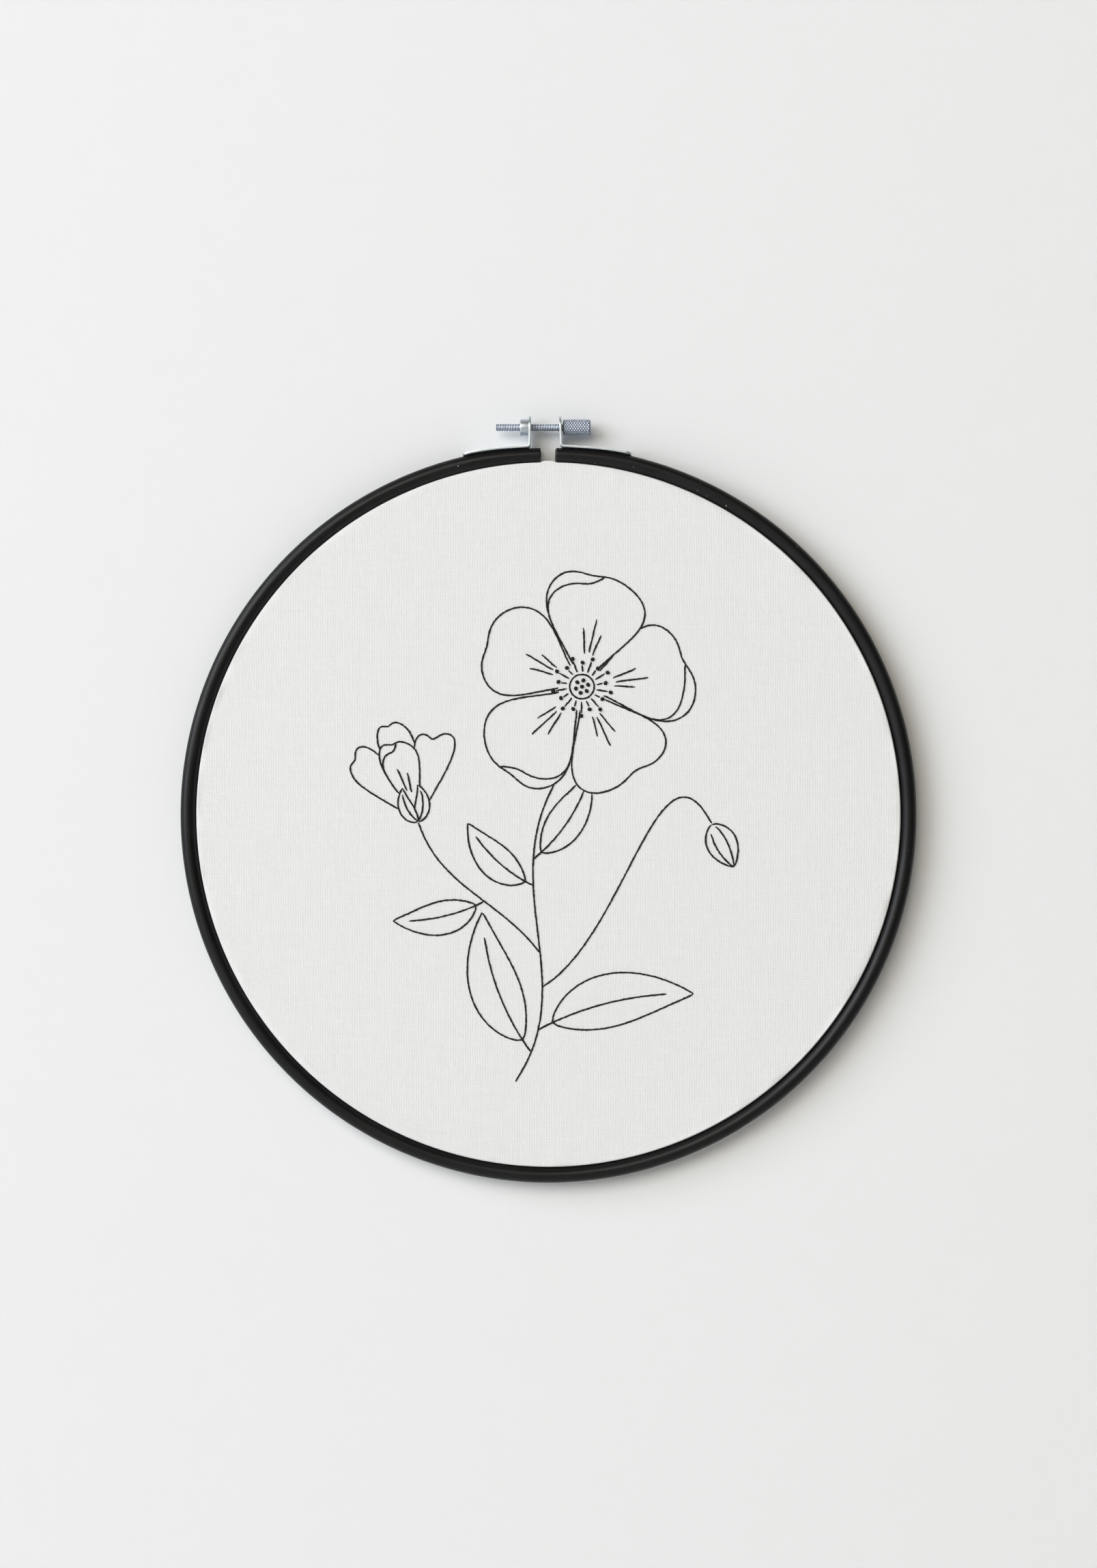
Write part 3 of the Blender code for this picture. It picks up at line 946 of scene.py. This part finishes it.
def linen():
    """Plain weave: two sets of yarns that cross over and under, with slubs in single yarns, and painted
    shade that darkens it down between the yarns.
    """
    material, tree, shader = new_material("linen", (0.84, 0.83, 0.8), 0.9)
    vector = place_on_object(tree)
    drift = node(tree, "ShaderNodeTexNoise", {"Vector": vector, "Scale": 110.0, "Detail": 2.0})
    shift = node(tree, "ShaderNodeVectorMath", {0: drift.outputs["Color"]}, operation="SCALE")
    shift.inputs["Scale"].default_value = 0.9 * MM
    moved = node(tree, "ShaderNodeVectorMath", {0: vector, 1: shift.outputs[0]}, operation="ADD")
    across, _, up = parts_of(tree, moved.outputs[0])
    warp = compute(tree, "SINE", compute(tree, "MULTIPLY", across, math.pi / WEAVE_PITCH))
    weft = compute(tree, "SINE", compute(tree, "MULTIPLY", up, math.pi / WEAVE_PITCH))
    column = compute(tree, "MULTIPLY", across, 1 / WEAVE_PITCH)
    row = compute(tree, "MULTIPLY", up, 1 / WEAVE_PITCH)
    slub_up = noise_at(tree, combined(tree, column, 0.0, compute(tree, "MULTIPLY", up, 70)), 1.0, 2)
    slub_across = noise_at(tree, combined(tree, compute(tree, "MULTIPLY", across, 70), 3.0, row), 1.0, 2)

    def yarn(own, other, sign, slub):
        """How high one set of yarns stands: round, and higher where it passes over the other."""
        round_top = compute(tree, "POWER", compute(tree, "ABSOLUTE", own), 0.6)
        over = compute(tree, "MULTIPLY", compute(tree, "SIGN", own), compute(tree, "MULTIPLY", other, sign))
        height = compute(tree, "MULTIPLY_ADD", over, 0.5, round_top)
        return compute(tree, "ADD", height, remap(tree, slub, 0.25, 0.75, -0.25, 0.25))

    weave = compute(tree, "MAXIMUM", yarn(warp, weft, 1.0, slub_up), yarn(weft, warp, -1.0, slub_across))
    fibres = noise_at(tree, vector, 5200, 2)
    # Painted shade: the colour is darker where the weave is low, down between the crossing yarns.
    painted_weave_shade = mix_colours(tree, remap(tree, weave, 0.2, 1.3), (0.752, 0.747, 0.739), (0.822, 0.818, 0.81))
    slubs = compute(tree, "ADD", slub_up, compute(tree, "MULTIPLY", slub_across, 0.6))
    paler = remap(tree, slubs, 0.55, 1.05, 0, 0.5)
    tree.links.new(mix_colours(tree, paler, painted_weave_shade, (0.838, 0.835, 0.828)), shader.inputs["Base Color"])
    shader.inputs["Sheen Weight"].default_value = 0.08
    shader.inputs["Specular IOR Level"].default_value = 0.25
    under = bump(tree, weave, 0.055 * MM)
    tree.links.new(bump(tree, fibres, 0.015 * MM, under), shader.inputs["Normal"])
    return material


def zinc():
    """Plated sheet: fine rolling lines, a mottled finish and duller patches."""
    material, tree, shader = new_material("zinc", (0.66, 0.68, 0.69), 0.34, 1.0)
    vector = place_on_object(tree)
    x, y, z = parts_of(tree, vector)
    lines = noise_at(tree, combined(tree, compute(tree, "MULTIPLY", x, 0.12), y, z), 5200, 3)
    mottle = noise_at(tree, vector, 420, 4, 0.6)
    tone = mix_colours(tree, remap(tree, mottle, 0.3, 0.7), (0.66, 0.71, 0.755), (0.52, 0.565, 0.61))
    tree.links.new(tone, shader.inputs["Base Color"])
    tree.links.new(remap(tree, mottle, 0.3, 0.7, 0.34, 0.52), shader.inputs["Roughness"])
    tree.links.new(bump(tree, lines, 0.008 * MM), shader.inputs["Normal"])
    return material


def steel():
    """Bright blued plating, with painted shade that darkens it down in the grooves of the thread and the
    knurl.
    """
    material, tree, shader = new_material("steel", (0.5, 0.56, 0.66), 0.24, 1.0)
    vector = place_on_object(tree)
    x, y, z = parts_of(tree, vector)
    off_y = compute(tree, "SUBTRACT", y, SCREW_Y)
    off_z = compute(tree, "SUBTRACT", z, SCREW_Z)
    squares = compute(tree, "ADD", compute(tree, "POWER", off_y, 2), compute(tree, "POWER", off_z, 2))
    radius = compute(tree, "SQRT", squares)
    on_head = compute(tree, "GREATER_THAN", x, HEAD_START)
    top = compute(tree, "MULTIPLY_ADD", on_head, HEAD_RADIUS - SHAFT_RADIUS, SHAFT_RADIUS)
    depth = compute(tree, "SUBTRACT", top, radius)
    # Painted shade: the colour darkens with depth below the top of the thread or the knurl, standing in for
    # the shade down in the grooves.
    painted_groove_shade = remap(tree, depth, 0.06 * MM, 0.24 * MM)
    spots = noise_at(tree, vector, 1600, 3)
    bright = mix_colours(tree, remap(tree, spots, 0.35, 0.7), (0.88, 0.93, 1.0), (0.74, 0.79, 0.88))
    # The dark blue-grey is painted shade in the deepest part of the grooves.
    tree.links.new(mix_colours(tree, painted_groove_shade, bright, (0.2, 0.22, 0.28)), shader.inputs["Base Color"])
    dull = compute(tree, "MULTIPLY_ADD", on_head, 0.22, remap(tree, spots, 0.3, 0.7, 0.28, 0.44))
    tree.links.new(dull, shader.inputs["Roughness"])
    tree.links.new(bump(tree, spots, 0.006 * MM), shader.inputs["Normal"])
    return material


def floss():
    """Black twisted cotton: fine fibres with a slight sheen."""
    material, tree, shader = new_material("floss", (0.005, 0.005, 0.0055), 0.6)
    fibres = noise_at(tree, place_on_object(tree), 7000, 3)
    tone = mix_colours(tree, remap(tree, fibres, 0.3, 0.75), (0.003, 0.003, 0.0035), (0.012, 0.012, 0.013))
    tree.links.new(tone, shader.inputs["Base Color"])
    shader.inputs["Sheen Weight"].default_value = 0.06
    shader.inputs["Specular IOR Level"].default_value = 0.25
    tree.links.new(bump(tree, fibres, 0.03 * MM), shader.inputs["Normal"])
    return material


def wall_paint():
    """Matt white wall paint that can be seen through from behind."""
    material, tree, shader = new_material("wall_paint", (0.85, 0.85, 0.85), 0.95)
    shader.inputs["Specular IOR Level"].default_value = 0.1
    behind = node(tree, "ShaderNodeNewGeometry").outputs["Backfacing"]
    clear = node(tree, "ShaderNodeBsdfTransparent").outputs["BSDF"]
    mixed = node(tree, "ShaderNodeMixShader", {0: behind, 1: shader.outputs["BSDF"], 2: clear})
    tree.links.new(mixed.outputs["Shader"], tree.nodes["Material Output"].inputs["Surface"])
    return material


def shown_as(tree, real, pale):
    """A shader that looks pale to the eye and gives the light of the real one."""
    seen = node(tree, "ShaderNodeLightPath").outputs["Is Camera Ray"]
    return node(tree, "ShaderNodeMixShader", {0: seen, 1: real, 2: pale}).outputs["Shader"]


def floor_paint():
    """Pale floor paint that looks as pale everywhere, so that no horizon shows."""
    material, tree, shader = new_material("floor_paint", (0.62, 0.615, 0.6), 0.7)
    pale = node(tree, "ShaderNodeEmission", {"Color": (*BACKGROUND, 1), "Strength": 1.0})
    surface = shown_as(tree, shader.outputs["BSDF"], pale.outputs["Emission"])
    tree.links.new(surface, tree.nodes["Material Output"].inputs["Surface"])
    return material


# The stage, the lights and the camera


def make_plane(name, corners, material):
    """A flat piece of the stage."""
    mesh = bpy.data.meshes.new(name)
    mesh.from_pydata(corners, [], [(0, 1, 2, 3)])
    mesh.materials.append(material)
    plane = bpy.data.objects.new(name, mesh)
    bpy.context.scene.collection.objects.link(plane)
    return plane


def make_stage():
    """A wall behind the hoop, which can be seen through from behind, and a wide floor."""
    y, low, high = WALL_BEHIND, FLOOR_Z, WALL_TOP
    half = WALL_HALF_WIDTH
    corners = [(-half, y, low), (half, y, low), (half, y, high), (-half, y, high)]
    wall = make_plane("wall", corners, wall_paint())
    wall.visible_shadow = False
    half = FLOOR_HALF_WIDTH
    corners = [(-half, -half, low), (half, -half, low), (half, half, low), (-half, half, low)]
    make_plane("floor", corners, floor_paint())


def add_area_light(name, place, width, power, colour):
    """A round soft light that faces the hoop's centre."""
    light = bpy.data.lights.new(name, "AREA")
    light.shape = "DISK"
    light.size = width
    light.energy = power
    light.color = colour
    lamp = bpy.data.objects.new(name, light)
    bpy.context.scene.collection.objects.link(lamp)
    lamp.location = place + Vector((0, 0, HOOP_Z))
    lamp.rotation_mode = "QUATERNION"
    lamp.rotation_quaternion = place.to_track_quat("Z", "Y")
    lamp.visible_camera = False


def from_upper_left(off_normal, above_left):
    """The direction towards a light in front of the wall, to the hoop's upper left."""
    flat = math.sin(off_normal)
    return Vector((-flat * math.cos(above_left), -math.cos(off_normal), flat * math.sin(above_left)))


def light_scene():
    """Soft daylight from the upper left, and a weak light behind the wall for the back."""
    window = from_upper_left(WINDOW_OFF_NORMAL, WINDOW_ABOVE_LEFT)
    ceiling = from_upper_left(CEILING_OFF_NORMAL, CEILING_ABOVE_LEFT)
    add_area_light("window", window * WINDOW_DISTANCE, WINDOW_WIDTH, WINDOW_POWER, DAYLIGHT)
    add_area_light("ceiling", ceiling * WINDOW_DISTANCE, CEILING_WIDTH, CEILING_POWER, WARM_LIGHT)
    add_area_light("behind", BEHIND_PLACE, BEHIND_WIDTH, BEHIND_POWER, BEHIND_COLOUR)
    world = bpy.data.worlds.new("room")
    world.use_nodes = True
    tree = world.node_tree
    dim = tree.nodes["Background"]
    dim.inputs["Color"].default_value = (*WARM_LIGHT, 1)
    dim.inputs["Strength"].default_value = ROOM_STRENGTH
    pale = node(tree, "ShaderNodeBackground", {"Color": (*BACKGROUND, 1), "Strength": 1.0})
    surface = shown_as(tree, dim.outputs["Background"], pale.outputs["Background"])
    tree.links.new(surface, tree.nodes["World Output"].inputs["Surface"])
    bpy.context.scene.world = world
    bpy.context.scene.view_settings.view_transform = "Standard"


def make_camera():
    """Straight on to the wall, a little above the hoop's centre.

    Its distance counts from the ring's widest line.
    """
    lens = bpy.data.cameras.new("camera")
    lens.sensor_fit = "AUTO"
    lens.lens = lens.sensor_width * VIEW_DISTANCE / VIEW_HEIGHT
    camera = bpy.data.objects.new("camera", lens)
    bpy.context.scene.collection.objects.link(camera)
    widest = HOOP_DEPTH - RING_WIDTH / 2
    camera.location = (0, -VIEW_DISTANCE - widest, HOOP_Z + VIEW_ABOVE_CENTRE)
    camera.rotation_euler = (math.pi / 2, 0, 0)
    bpy.context.scene.camera = camera


def make_embroidery(thread):
    """The stitches on the linen's front, their crossings on its back, and the knots."""
    groups, knots = plant_drawing()
    front = dict(length=STITCH_LENGTH, advance=STITCH_ADVANCE, slant=STITCH_SLANT)
    front |= dict(surface=CLOTH_FRONT, outwards=1, steps=9, sides=7)
    back = dict(length=BACK_STITCH_LENGTH, advance=BACK_STITCH_ADVANCE, slant=0)
    back |= dict(surface=CLOTH_FRONT - LINEN_THICK, outwards=-1, steps=6, sides=6)
    sewn = []
    for seed, (group, lines) in enumerate(groups.items()):
        sewn.append(make_stitches("stitches_" + group, lines, thread, seed=seed, **front))
    everything = [line for lines in groups.values() for line in lines]
    sewn.append(make_stitches("stitches_reverse", everything, thread, seed=9, **back))
    sewn.append(make_knots(knots, thread))
    return sewn


def make_object():
    """All the pieces of the hoop, its linen and the stitches on both sides of it."""
    metal = zinc()
    plated = steel()
    thread = floss()
    make_outer_hoop(black_paint())
    make_inner_hoop(pale_wood())
    cloth = make_linen(linen())
    left = (-1, EAR_LEFT_X, EAR_LEFT_LEAN, STRIP_LEFT_END)
    right = (1, EAR_RIGHT_X, EAR_RIGHT_LEAN, STRIP_RIGHT_END)
    make_bracket("zinc_bracket_left", "bracket_left", *left, metal)
    make_bracket("zinc_bracket_right", "bracket_right", *right, metal)
    make_nut(metal)
    make_shaft(plated)
    make_head(plated)
    sewn = make_embroidery(thread)


make_camera()
make_object()
make_stage()
light_scene()
